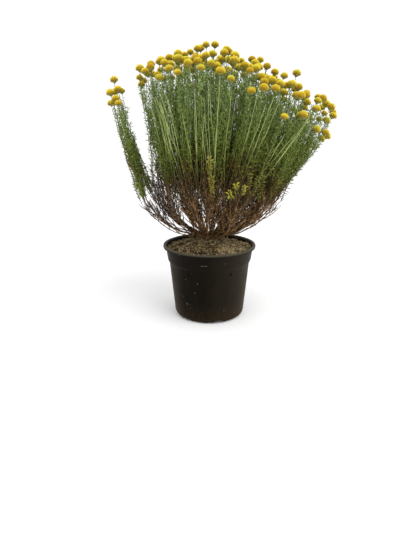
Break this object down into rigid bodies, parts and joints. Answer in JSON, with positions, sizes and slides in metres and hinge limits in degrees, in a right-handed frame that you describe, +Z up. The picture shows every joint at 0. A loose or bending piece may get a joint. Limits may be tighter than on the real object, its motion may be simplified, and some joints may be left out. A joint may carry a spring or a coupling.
{
  "type": "potted curry plant",
  "caption": "Bushy herb with slender upright leafy stems and round yellow button flower heads on a woody base, in a black plastic nursery pot.",
  "frame": {"origin": "middle of the pot's flat underside, where it rests on the ground", "axes": "+Z up along the pot's axis, -Y towards the viewer of the picture, +X to the plant's right side as seen there"},
  "size_m": [0.5125, 0.2986, 0.6169],
  "materials": {
    "pot": "satin",
    "soil": "matte",
    "woody_base": "matte",
    "foliage": "matte",
    "flower_heads": "matte"
  },
  "bodies": {
    "root": {"pot": "pot", "soil": "soil", "woody_base": "woody_base", "spray_01": "foliage", "spray_02": "foliage", "spray_03": "foliage", "spray_04": "foliage", "spray_05": "foliage", "spray_06": "foliage", "spray_07": "foliage", "spray_08": "foliage", "spray_09": "foliage", "spray_10": "foliage", "spray_11": "foliage", "spray_12": "foliage", "spray_13": "foliage", "spray_14": "foliage", "spray_15": "foliage", "spray_16": "foliage", "spray_17": "foliage", "spray_18": "foliage", "spray_19": "foliage", "spray_20": "foliage", "spray_21": "foliage", "spray_22": "foliage", "spray_23": "foliage", "spray_24": "foliage", "spray_25": "foliage", "spray_26": "foliage", "spray_27": "foliage", "spray_28": "foliage", "spray_29": "foliage", "spray_30": "foliage", "spray_31": "foliage", "spray_32": "foliage", "spray_33": "foliage", "spray_34": "foliage", "spray_35": "foliage", "spray_36": "foliage", "spray_37": "foliage", "spray_38": "foliage", "spray_39": "foliage", "spray_40": "foliage", "spray_41": "foliage", "spray_42": "foliage", "spray_43": "foliage", "spray_44": "foliage"}
  },
  "joints": []
}
